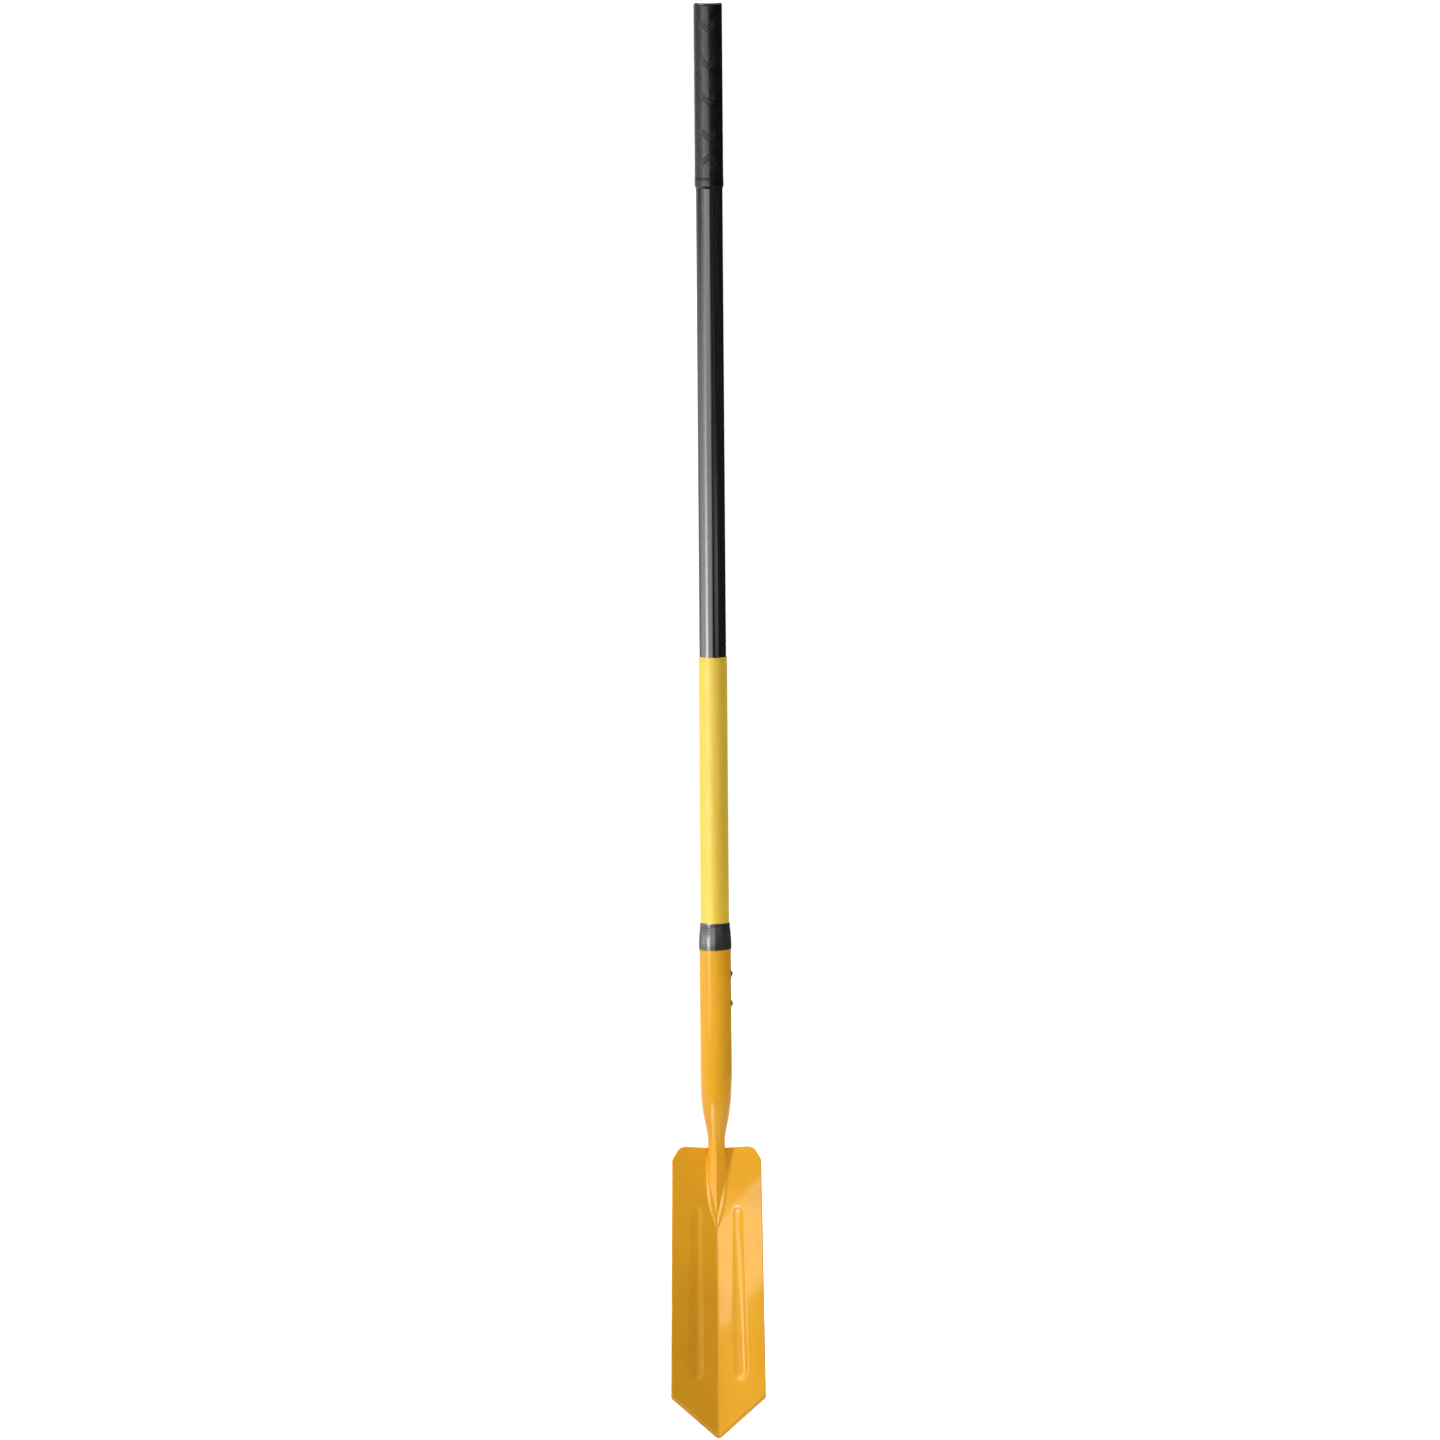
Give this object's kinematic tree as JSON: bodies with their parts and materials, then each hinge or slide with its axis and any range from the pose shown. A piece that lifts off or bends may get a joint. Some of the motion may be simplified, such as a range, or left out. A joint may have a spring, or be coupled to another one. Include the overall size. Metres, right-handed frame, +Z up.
{
  "type": "trenching spade",
  "caption": "Long-handled trenching spade with a narrow V-folded steel blade, pressed beads, blunt point, riveted socket and a straight fibreglass shaft with sleeve, collar and rubber grip.",
  "frame": {"origin": "on the shaft's axis, halfway along the round hold of the grip", "axes": "+Z up the shaft from the blade to the grip, the hollow of the blade faces -Y, +X to the right of someone who looks into the hollow"},
  "size_m": [0.1012, 0.0958, 1.5247],
  "materials": {
    "painted_steel": "glossy orange-yellow paint on steel",
    "sleeve": "smooth lemon-yellow plastic film",
    "shaft": "glossy black glass-fibre resin with lengthwise streaks",
    "core": "turned hardwood",
    "plug": "moulded black plastic",
    "grip": "satin black rubber with moulded marks",
    "collar": "satin dark grey plastic",
    "rivets": "dark plain steel, put in after the paint"
  },
  "bodies": {
    "root": {"shaft_tube": "shaft", "shaft_core": "core", "butt_plug": "plug", "grip": "grip", "sleeve": "sleeve", "collar": "collar", "socket": "painted_steel", "upper_rivet": "rivets", "lower_rivet": "rivets", "blade": "painted_steel", "left_weld": "painted_steel", "right_weld": "painted_steel"}
  },
  "joints": []
}
